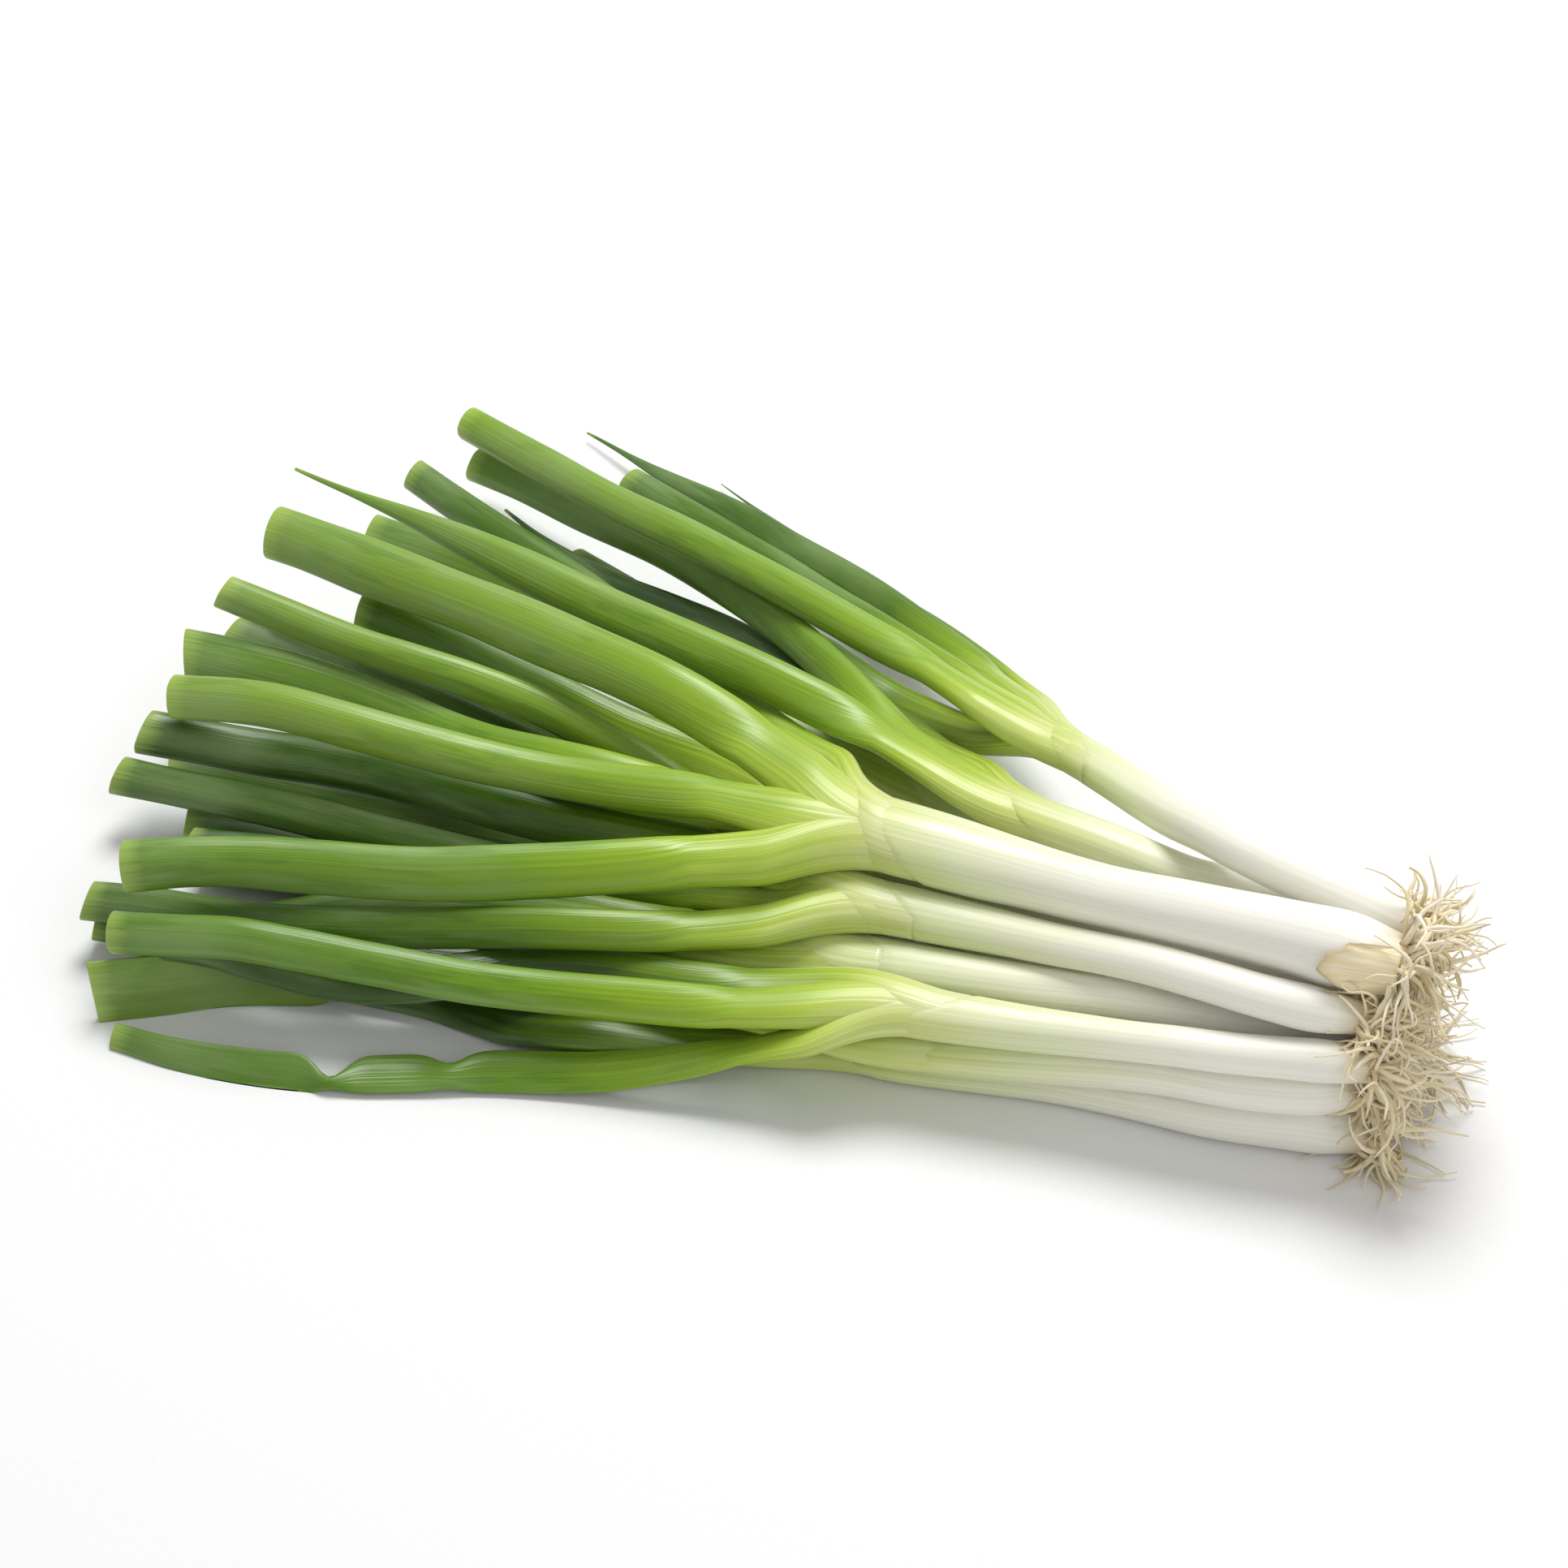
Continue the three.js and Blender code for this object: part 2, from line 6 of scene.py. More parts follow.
import bpy
import numpy as np
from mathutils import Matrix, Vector


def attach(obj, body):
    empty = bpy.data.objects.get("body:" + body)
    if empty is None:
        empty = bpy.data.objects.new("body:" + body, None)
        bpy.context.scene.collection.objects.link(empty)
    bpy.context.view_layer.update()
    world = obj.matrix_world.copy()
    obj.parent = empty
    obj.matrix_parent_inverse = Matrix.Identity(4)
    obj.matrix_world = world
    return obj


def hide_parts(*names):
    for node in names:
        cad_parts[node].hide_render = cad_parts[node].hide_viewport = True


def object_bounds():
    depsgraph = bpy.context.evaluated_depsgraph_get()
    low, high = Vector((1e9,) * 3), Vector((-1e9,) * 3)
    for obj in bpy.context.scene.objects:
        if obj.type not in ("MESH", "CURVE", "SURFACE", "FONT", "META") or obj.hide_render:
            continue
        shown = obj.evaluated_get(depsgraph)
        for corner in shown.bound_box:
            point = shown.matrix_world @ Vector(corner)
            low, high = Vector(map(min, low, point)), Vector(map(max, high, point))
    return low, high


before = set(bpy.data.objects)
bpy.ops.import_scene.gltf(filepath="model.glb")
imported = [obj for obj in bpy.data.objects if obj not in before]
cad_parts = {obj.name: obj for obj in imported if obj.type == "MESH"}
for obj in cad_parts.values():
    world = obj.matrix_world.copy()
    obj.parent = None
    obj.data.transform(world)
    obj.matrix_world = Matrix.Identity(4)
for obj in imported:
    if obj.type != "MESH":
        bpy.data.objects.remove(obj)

CAD_BOX = [list(corner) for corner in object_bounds()]

# ---- Sizes -----------------------------------------------------------------------------------------
MM = 0.001
ROW_STEP = 1.6 * MM  # rows of vertices along a leaf or shank
LEAF_COLUMNS = 30
SHANK_COLUMNS = 40
FLOOR_GAP = 0.05 * MM
WELD = 0.004 * MM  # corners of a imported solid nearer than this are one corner
POLE_EDGES = 8  # only the middle of an end cap meets this many edges

SHEATH_LENGTH = 16 * MM  # how far down the shank a leaf's base is wrapped in it
SHEATH_SHARE = 0.975  # size of the outermost wrapped base, as a part of the shank's
SHEATH_SHARE_STEP = 0.012  # each base further in is smaller by this
MERGE_FROM, MERGE_TO = -12 * MM, 20 * MM  # where a leaf's centre line leaves the shank's
OPEN_FROM, OPEN_TO = -6 * MM, 34 * MM  # where its section turns from the shank's to its own
FULL_SHARE = 0.28  # how far along a leaf its own full width is taken from, for its base too
LEAF_SWAY = 0.25 * MM  # small random bends of a leaf's centre line
POINTED_SHARE = 0.25  # a leaf whose end is narrower than this, against its widest place, is pointed
CUT_SLANT = 0.25  # steepest slope of a cut end
CUT_SLANT_LENGTH = 8 * MM
WALL = 0.8 * MM  # thickness of a hollow leaf's wall
HOLLOW_DEPTH = 16 * MM
RIM_RADIUS = 0.35 * MM

MOUTH_SLANT = 9 * MM  # the shank's mouth runs obliquely around it, this far either way
MOUTH_RIPPLE = 0.4 * MM
MOUTH_DEPTH = 2.5 * MM  # past the mouth's lip the shank's skin turns in over this distance
MOUTH_LEAN_LENGTH = 45 * MM  # the rows below the mouth lean over towards it along this
CORE_SHARE = 0.93  # size of the youngest leaf bases where they come out of the mouth
CROTCH_LENGTH = 18 * MM  # how far they fill the space between the leaves
CROTCH_SHARE = 0.25  # and their size where they end
BULB_SWELL = 0.06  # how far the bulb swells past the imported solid, as a part of its radius
BULB_CENTRE, BULB_SPREAD = 9 * MM, 7 * MM
PLATE_LIP = 1.6 * MM  # how far the bulb bulges past the root plate's rim
PLATE_DEPTH = 0.35  # how far it closes over the plate, as a part of its radius
RIB_DEPTH = 0.006  # fine and coarse ribs, as a part of the shank's radius
LOBE_DEPTH = 0.015
LOBE_TWIST = 30 * MM  # the shank's flat sides turn through one radian along this

HUSKED = "onion_03_shank"
HUSK_SEED = 100
HUSK_AROUND = (math.radians(95), math.radians(255))  # where around the shank the dry skin is
HUSK_START = -1.2 * MM
HUSK_LENGTH = 20 * MM
HUSK_THICKNESS = 0.15 * MM
HUSK_LIFT = 0.35 * MM  # how far it stands off the bulb all over
HUSK_LOOSE = 0.5 * MM  # how much more at the plate
HUSK_CURL = 1.6 * MM  # and at its torn edge
HUSK_CREASE = 0.25 * MM
HUSK_ROWS, HUSK_COLUMNS = 14, 40

ROOTS_PER_PLANT = 84
ROOTS_PER_CLUMP = 6
ROOT_STEPS = 14
ROOT_SIDES = 6
ROOT_RADIUS = 0.78 * MM
ROOT_THICKNESS = (0.55, 1.3)  # thinnest and thickest root, as parts of that radius
ROOT_TIP_SHARE = 0.22  # a root's tip against its base
ROOT_FLATNESS = 0.75
ROOT_SPREAD = 0.85  # how much of the plate's radius the roots grow from
ROOT_SCATTER = 0.8 * MM
ROOT_DROOP = 0.07
ROOT_CEILING = CAD_BOX[1][2] + 4 * MM
ROOT_REACH = (0.45, 1.0)  # shortest and longest root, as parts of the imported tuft's length
ROOT_LEAN = (math.radians(6), math.radians(58))  # of the innermost, and what the outermost add to it

# Greenness of each plant's leaves: -1 is dark and bluish, +1 is light and yellowish. Besides each leaf's
# own tone, -1 is painted shade on inner leaves that lie in shadow, and the high values are painted light
# on leaves that catch the lamp.
LEAF_TONES_WITH_PAINTED_SHADE_AND_LIGHT = {
    "onion_01": (-0.7, -0.6, -0.3, -0.9, 0.7),
    "onion_02": (-0.9, 0.1, 0.6),
    "onion_03": (0.25, 0.75, 0.8, 0.15),
    "onion_04": (-0.7, -0.5, -0.45),
    "onion_05": (-0.9, -0.7),
    "onion_06": (-0.9, -0.1, -0.15),
    "onion_07": (-0.9, 0.35),
    "onion_08": (-1.0, -1.0),
    "onion_09": (-0.3, 0.1, 0.6),
    "onion_10": (-0.5, -0.5, -0.5),
    "onion_11": (-0.5, -0.5),
    "onion_12": (-1.0, -1.0),
}


def kink(place, spread, wide=1.0, thick=1.0, degrees=0, nearer=0.0):
    """A pressed or folded place: where along the leaf it is and how much of its length it takes, as
    shares, what becomes of the leaf's width and thickness there, how far the leaf rolls across it,
    and how far it moves towards the near side."""
    return place, spread, wide, thick, math.radians(degrees), nearer


KINKS = {
    "onion_06_leaf_3": (
        kink(0.65, 0.4, wide=1.3, thick=0.5),
        kink(0.71, 0.025, wide=0.3, thick=1.6, degrees=30, nearer=2.6 * MM),
        kink(0.56, 0.025, wide=0.65, thick=1.5, degrees=-12, nearer=1.2 * MM),
        kink(1.0, 0.12, wide=0.7),
    ),
    "onion_07_leaf_2": (
        kink(0.66, 0.06, wide=0.7, thick=0.7, degrees=20),
        kink(0.98, 0.2, wide=1.3, thick=0.45),
    ),
    "onion_03_leaf_4": (kink(0.6, 0.2, wide=1.03, thick=0.8),),
    "onion_02_leaf_2": (kink(0.3, 0.1, thick=0.75, degrees=15),),
}


# ---- Reading the lofted solids ---------------------------------------------------------------------
def read_rings(name):
    """The rings of a lofted solid's corners, from its root end to its leaf end."""
    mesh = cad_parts[name].data
    raw = np.array([v.co for v in mesh.vertices])
    keys, first, merged = np.unique(
        np.round(raw / WELD).astype(int), axis=0, return_index=True, return_inverse=True)
    merged = merged.ravel()
    points = raw[first]
    near = [set() for _ in points]
    for edge in mesh.edges:
        a, b = merged[edge.vertices[0]], merged[edge.vertices[1]]
        if a != b:
            near[a].add(b)
            near[b].add(a)
    poles = [i for i, others in enumerate(near) if len(others) >= POLE_EDGES]
    root = max(poles, key=lambda i: points[i][0])
    rings = []
    seen = {root}
    front = {root}
    while front:
        rings.append(points[sorted(front)])
        front = {n for i in front for n in near[i]} - seen
        seen |= front
    return rings[1:-1]


def unit(vectors):
    return vectors / np.linalg.norm(vectors, axis=-1, keepdims=True)


def smoothstep(x, low, high):
    t = np.clip((x - low) / (high - low), 0, 1)
    return t * t * (3 - 2 * t)


def mix(a, b, t):
    return a + (b - a) * t


class Strand:
    """A centre line with oval sections, read from a lofted solid, root end first."""

    def __init__(self, name):
        rings = read_rings(name)
        self.centres = np.array([ring.mean(0) for ring in rings])
        sides, halves = [], []
        for ring, centre in zip(rings[::-1], self.centres[::-1]):
            spread, axes = np.linalg.eigh(np.cov((ring - centre).T, bias=True))
            halves.append(np.sqrt(2 * spread[[2, 1]]))
            side = axes[:, 2]
            if sides and halves[-1][0] < 1.1 * halves[-1][1]:
                side = sides[-1]  # a round section has no wide side of its own: it keeps the last one
            if sides and side @ sides[-1] < 0:
                side = -side
            sides.append(side)
        self.sides = np.array(sides[::-1])
        self.halves = np.array(halves[::-1])
        self.length = np.linalg.norm(np.diff(self.centres, axis=0), axis=1).sum()

    def curve(self, values, s):
        """Catmull-Rom through evenly spaced values, carried on straight past both ends."""
        count = len(values) - 1
        place = np.atleast_1d(s) / self.length * count
        low = np.clip(np.floor(place), 0, count - 1).astype(int)
        t = (place - low)[:, None]
        padded = np.vstack([2 * values[0] - values[1], values, 2 * values[-1] - values[-2]])
        p0, p1, p2, p3 = (padded[low + i] for i in range(4))
        inside = np.clip(t, 0, 1)
        smooth = p1 + 0.5 * inside * (
            (p2 - p0) + inside * ((2 * p0 - 5 * p1 + 4 * p2 - p3) + inside * (3 * p1 - p0 - 3 * p2 + p3)))
        return smooth + (t - inside) * (p2 - p1)

    def centre(self, s):
        return self.curve(self.centres, s)

    def halves_at(self, s):
        return np.maximum(self.curve(self.halves, np.clip(s, 0, self.length)), 0.05 * MM)

    def frame(self, s, side_from=0.0):
        """Centres and the side, top and forward directions at distances s from the root end. Before
        side_from the section keeps the roll that it has there."""
        step = 0.5 * MM
        forward = unit(self.centre(s + step) - self.centre(s - step))
        side = self.curve(self.sides, np.clip(s, side_from, self.length))
        side = unit(side - (side * forward).sum(-1, keepdims=True) * forward)
        return self.centre(s), side, np.cross(side, forward), forward


# ---- Mesh building ---------------------------------------------------------------------------------
def make_mesh(name, points, faces, straight, habit, material):
    """A smooth object with two vectors at each vertex that its material reads. straight is its place
    on the strand pulled straight. habit is (distance from the cut end, distance from the root plate,
    tone) on leaves and shanks, (distance along the root, ring, tone) on roots and (distance from the
    root plate, share of the way to the torn edge, 0) on the husk. A leaf's tone also carries painted
    shade and painted light."""
    mesh = bpy.data.meshes.new(name)
    mesh.from_pydata([tuple(p) for p in points], [], faces)
    for label, values in (("straight", straight), ("habit", habit)):
        attribute = mesh.attributes.new(label, "FLOAT_VECTOR", "POINT")
        attribute.data.foreach_set("vector", np.asarray(values, np.float32).ravel())
    mesh.polygons.foreach_set("use_smooth", [True] * len(mesh.polygons))
    mesh.materials.append(material)
    mesh.validate()
    piece = bpy.data.objects.new(name, mesh)
    bpy.context.scene.collection.objects.link(piece)
    return piece


def tube_faces(rows, columns, start=0):
    """Faces of a tube of rows x columns vertices with a cap at both ends."""
    faces = []
    for r in range(rows - 1):
        for c in range(columns):
            d = (c + 1) % columns
            low, high = start + r * columns, start + (r + 1) * columns
            faces.append((low + c, high + c, high + d, low + d))
    faces.append(tuple(start + c for c in range(columns)))
    faces.append(tuple(start + (rows - 1) * columns + c for c in reversed(range(columns))))
    return faces


def wander(rng, rows, step, amount):
    """Smooth random values, one to a row, that change every step rows."""
    knots = rng.normal(0, amount, rows // step + 3)
    place = np.arange(rows) / step
    low = place.astype(int)
    return mix(knots[low], knots[low + 1], smoothstep(place - low, 0, 1))


# ---- Leaves ----------------------------------------------------------------------------------------
def leaf_outline(rng, angles):
    """A hollow leaf's outline around its section: nearly oval, with a rib, a channel beside it and a
    soft swelling on the other side. Each has its place, its height and its width, in radians."""
    rib = rng.uniform(0.15, 0.85) * math.pi
    channel = rib + rng.uniform(0.5, 0.9)
    outline = np.ones_like(angles)
    for place, height, width in (
            (rib, 0.035, 0.16), (channel, -0.05, 0.35), (rib + math.pi, 0.02, 0.3)):
        gap = np.angle(np.exp(1j * (angles - place)))
        outline += height * np.exp(-(gap / width) ** 2)
    return outline


def kinked(name, share, halves):
    """Half sizes, roll and shift along a leaf, with its pressed and twisted places."""
    halves = halves.copy()
    roll = np.zeros(len(share))
    shift = np.zeros((len(share), 3))
    for place, spread, wide, thick, turn, nearer in KINKS.get(name, ()):
        bump = np.exp(-((share - place) / spread) ** 2)
        halves *= np.stack([mix(1, wide, bump), mix(1, thick, bump)], 1)
        roll += turn * smoothstep(share, place - spread, place + spread)
        shift[:, 1] -= nearer * bump
    return halves, roll, shift


def pulled_straight(strand, angles, rise):
    """Where each vertex would lie on a straight, round strand of one size, for the veins to follow."""
    vein = strand.halves.mean() * np.stack([np.cos(angles), np.sin(angles)], -1)
    return np.concatenate([np.broadcast_to(vein, (*rise.shape, 2)), rise[..., None]], -1)


def ring_offsets(halves, angles, side, top):
    """Vectors from a centre line to its oval rings: rows x columns x 3."""
    x = halves[:, :1] * np.cos(angles)
    y = halves[:, 1:] * np.sin(angles)
    return x[..., None] * side[:, None] + y[..., None] * top[:, None]


def hollow_rows(halves, rows):
    """How a cut leaf goes on past its last row: the rim rounds over and the wall's inner side runs
    back down. Gives the outer row that each new row lies inside, its distance ahead of the cut and
    its size as a part of that outer row's."""
    turn = np.linspace(0, math.pi, 6)[1:]
    down = np.linspace(0, HOLLOW_DEPTH, 8)[1:]
    inset = np.concatenate([WALL / 2 * (1 - np.cos(turn)), np.full(len(down), WALL)])
    ahead = np.concatenate([RIM_RADIUS * np.sin(turn), -down])
    outer = np.clip(rows - 1 + np.minimum(ahead, 0) / ROW_STEP, 0, rows - 1).astype(int)
    shrink = 1 - inset[:, None] / np.maximum(halves[outer], 1.2 * WALL)
    return outer, ahead, shrink


def make_leaf(name, shank, layer, tone, rng, material):
    """One leaf: wrapped in the shank at its base, then a hollow tube with a cut or pointed end."""
    leaf = Strand(name)
    rows = int((leaf.length + SHEATH_LENGTH) / ROW_STEP) + 1
    climb = np.linspace(-SHEATH_LENGTH, leaf.length, rows)
    angles = np.linspace(0, 2 * math.pi, LEAF_COLUMNS, endpoint=False)
    centres, side, top, forward = leaf.frame(climb, OPEN_TO)
    full_from = FULL_SHARE * leaf.length
    halves, roll, shift = kinked(
        name, climb / leaf.length, leaf.halves_at(np.maximum(climb, full_from)))
    halves *= 1 + np.stack([wander(rng, rows, 14, 0.02), wander(rng, rows, 10, 0.035)], 1)
    side, top = (
        side * np.cos(roll)[:, None] + top * np.sin(roll)[:, None],
        top * np.cos(roll)[:, None] - side * np.sin(roll)[:, None])

    # The base is a tube inside the shank, turned so that its seams run straight into the leaf.
    neck_centres, neck_side, neck_top, _ = shank.frame(shank.length + climb)
    turn = math.atan2((side * neck_top).sum(1)[0], (side * neck_side).sum(1)[0])
    nested = shank.halves_at(shank.length + climb) * (SHEATH_SHARE - SHEATH_SHARE_STEP * layer)
    sheath = ring_offsets(nested, angles + turn, neck_side, neck_top)
    parted = smoothstep(climb, MERGE_FROM, MERGE_TO)[:, None]
    opened = smoothstep(climb, OPEN_FROM, OPEN_TO)[:, None]
    centres = mix(neck_centres, centres, parted) + shift
    centres = centres + opened * np.stack([wander(rng, rows, 16, LEAF_SWAY) for _ in range(3)], 1)

    # x, y and z are each vertex's place across, through and along the leaf from its row's centre.
    outline = leaf_outline(rng, angles)
    x = halves[:, :1] * np.cos(angles) * outline
    y = halves[:, 1:] * np.sin(angles) * outline
    slope_x = rng.uniform(-CUT_SLANT, CUT_SLANT)
    slope_y = rng.uniform(-CUT_SLANT, CUT_SLANT)
    near_cut = smoothstep(climb, leaf.length - CUT_SLANT_LENGTH, leaf.length)[:, None]
    z = near_cut * (slope_x * x + slope_y * y)
    from_cut = leaf.length - climb
    row_climb = climb
    index = np.arange(rows)
    pointed = leaf.halves[-1][0] < POINTED_SHARE * leaf.halves[:, 0].max()
    if not pointed:
        outer, ahead, shrink = hollow_rows(halves, rows)
        fade = smoothstep(ahead, -HOLLOW_DEPTH / 2, 0)[:, None]
        z = np.vstack([z, z[rows - 1] * fade + np.maximum(ahead, 0)[:, None]])
        x = np.vstack([x, x[outer] * shrink[:, :1]])
        y = np.vstack([y, y[outer] * shrink[:, 1:]])
        from_cut = np.concatenate([from_cut, np.maximum(-ahead, 0)])
        row_climb = np.concatenate([row_climb, leaf.length + ahead])
        index = np.concatenate([index, outer])
    centres, side, top, forward = (
        values[index][:, None, :] for values in (centres, side, top, forward))
    blade = x[..., None] * side + y[..., None] * top + z[..., None] * forward
    points = centres + mix(sheath[index], blade, opened[index][..., None])
    points[..., 2] = np.maximum(points[..., 2], FLOOR_GAP)

    rise = np.repeat(row_climb[:, None], LEAF_COLUMNS, 1)
    tip = np.repeat(from_cut[:, None], LEAF_COLUMNS, 1)
    shade = np.full_like(rise, tone + rng.normal(0, 0.05))
    piece = make_mesh(
        name.replace("leaf", "blade"), points.reshape(-1, 3), tube_faces(len(points), LEAF_COLUMNS),
        pulled_straight(leaf, angles, rise), np.stack([tip, rise + shank.length, shade], -1), material)
    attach(piece, "root")
    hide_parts(name)


# ---- Shanks ----------------------------------------------------------------------------------------
def bulb_swell(from_plate):
    return 1 + BULB_SWELL * np.exp(-((from_plate - BULB_CENTRE) / BULB_SPREAD) ** 2)


def make_shank(name, shank, rng, material):
    """The white stem of wrapped leaf bases: soft ribs along it, a rounded bulb and a rough root plate.
    Its outermost sheath ends in an oblique mouth, inside which the younger leaf bases go on."""
    angles = np.linspace(0, 2 * math.pi, SHANK_COLUMNS, endpoint=False)
    turn = np.linspace(0, math.pi / 2, 7)[:0:-1]  # the bulb closes over its rim on to the root plate
    close = np.concatenate([[PLATE_DEPTH], 1 - PLATE_DEPTH * (1 - np.cos(turn))])
    below = -PLATE_LIP * np.concatenate([[1.05], np.sin(turn)])
    rows = int((shank.length + CROTCH_LENGTH) / ROW_STEP) + 1
    row_place = np.concatenate([below, np.linspace(0, shank.length + CROTCH_LENGTH, rows)])
    mouth = shank.length - MOUTH_SLANT
    inside = np.clip((row_place - mouth) / MOUTH_DEPTH, 0, 1)
    spent = smoothstep(row_place, mouth + MOUTH_DEPTH, shank.length + CROTCH_LENGTH)
    shut = mix(1, CORE_SHARE, np.sqrt(inside * (2 - inside))) * mix(1, CROTCH_SHARE, spent)
    shut[:len(close)] = close
    # The rows lean over towards the mouth, so that its lip is one clean edge.
    lean = smoothstep(row_place, mouth - MOUTH_LEAN_LENGTH, mouth)
    low_side = rng.uniform(0, 2 * math.pi)
    slant = MOUTH_SLANT * np.cos(angles - low_side) + MOUTH_RIPPLE * np.sin(5 * angles + low_side)
    from_plate = row_place[:, None] + lean[:, None] * slant
    shape = from_plate.shape
    centres, side, top, _ = (values.reshape(*shape, 3) for values in shank.frame(from_plate.ravel()))
    halves = shank.halves_at(from_plate.ravel()).reshape(*shape, 2)
    coarse = RIB_DEPTH * np.sin(9 * angles + rng.uniform(0, 6))
    fine = RIB_DEPTH * np.sin(17 * angles + rng.uniform(0, 6))
    lobe = LOBE_DEPTH * np.sin(2 * angles + from_plate / LOBE_TWIST + rng.uniform(0, 6))
    swell = shut * bulb_swell(row_place) * (1 + wander(rng, len(row_place), 14, 0.012))
    size = swell[:, None] * (1 + coarse + fine + lobe)
    x = halves[..., 0] * np.cos(angles) * size
    y = halves[..., 1] * np.sin(angles) * size
    points = centres + x[..., None] * side + y[..., None] * top
    points[..., 2] = np.maximum(points[..., 2], FLOOR_GAP)
    far_from_cut = np.ones_like(from_plate)
    tone = np.full_like(from_plate, rng.normal(0, 0.2))
    piece = make_mesh(
        name.replace("shank", "stem"), points.reshape(-1, 3), tube_faces(len(points), SHANK_COLUMNS),
        pulled_straight(shank, angles, from_plate - shank.length),
        np.stack([far_from_cut, from_plate, tone], -1), material)
    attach(piece, "root")
    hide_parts(name)


def sheet_faces(rows, columns):
    """Faces of a thin sheet: its outer and then its inner layer of rows x columns, and its edge."""
    inner = rows * columns
    faces = []
    for r in range(rows - 1):
        for c in range(columns - 1):
            a, b = r * columns + c, r * columns + c + 1
            faces.append((a, b, b + columns, a + columns))
            faces.append((inner + a, inner + a + columns, inner + b + columns, inner + b))
    rim = list(range(columns))
    rim += [r * columns + columns - 1 for r in range(1, rows)]
    rim += [(rows - 1) * columns + c for c in reversed(range(columns - 1))]
    rim += [r * columns for r in reversed(range(1, rows - 1))]
    for a, b in zip(rim, rim[1:] + rim[:1]):
        faces.append((a, inner + a, inner + b, b))
    return faces


def make_husk(name, shank, rng, material):
    """The outermost leaf base of the largest bulb, dried to paper: it peels off the bulb's near side
    beside the root plate and ends in a torn edge."""
    angles = np.linspace(*HUSK_AROUND, HUSK_COLUMNS)
    share = np.linspace(0, 1, HUSK_ROWS)[:, None]
    torn = HUSK_LENGTH * (0.72 + wander(rng, HUSK_COLUMNS, 5, 0.2) + wander(rng, HUSK_COLUMNS, 2, 0.05))
    to_sides = np.sin(np.linspace(0, math.pi, HUSK_COLUMNS)) ** 0.4
    from_plate = HUSK_START + share * torn * to_sides
    shape = from_plate.shape
    centres, side, top, _ = (values.reshape(*shape, 3) for values in shank.frame(from_plate.ravel()))
    halves = shank.halves_at(np.maximum(from_plate, 0).ravel()).reshape(*shape, 2)
    # It stands off a little at the plate and curls away further at the torn edge.
    crease = HUSK_CREASE * np.sin(7 * angles + 6 * share)
    curl = (HUSK_CURL * share ** 3 + HUSK_LOOSE * (1 - share) ** 2) * to_sides
    lift = HUSK_LIFT + curl + crease * (0.3 + 0.7 * share)
    layers = []
    for depth in (0, HUSK_THICKNESS):
        x = (halves[..., 0] * bulb_swell(from_plate) + lift - depth) * np.cos(angles)
        y = (halves[..., 1] * bulb_swell(from_plate) + lift - depth) * np.sin(angles)
        layers.append((centres + x[..., None] * side + y[..., None] * top).reshape(-1, 3))
    points = np.vstack(layers)
    points[:, 2] = np.maximum(points[:, 2], FLOOR_GAP)
    habit = np.stack([from_plate, np.broadcast_to(share, shape), np.zeros(shape)], -1)
    piece = make_mesh(
        name.replace("shank", "husk"), points, sheet_faces(HUSK_ROWS, HUSK_COLUMNS),
        np.stack([pulled_straight(shank, angles, from_plate)] * 2), np.stack([habit] * 2), material)
    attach(piece, "root")
    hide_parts(name)


# ---- Roots -----------------------------------------------------------------------------------------
def root_path(start, way, length, rng):
    """A curly line of points that droops as it goes and stays above the floor."""
    bow = rng.normal(0, 0.10, 3)
    curl = rng.normal(0, 1, 3)
    points = [start]
    for _ in range(ROOT_STEPS):
        curl = 0.75 * curl + rng.normal(0, 0.65, 3)
        way = unit(way + bow + 0.2 * curl - (0, 0, ROOT_DROOP))
        here = points[-1] + way * length / ROOT_STEPS
        points.append(np.array([here[0], here[1], np.clip(here[2], ROOT_RADIUS, ROOT_CEILING)]))
    return np.array(points)


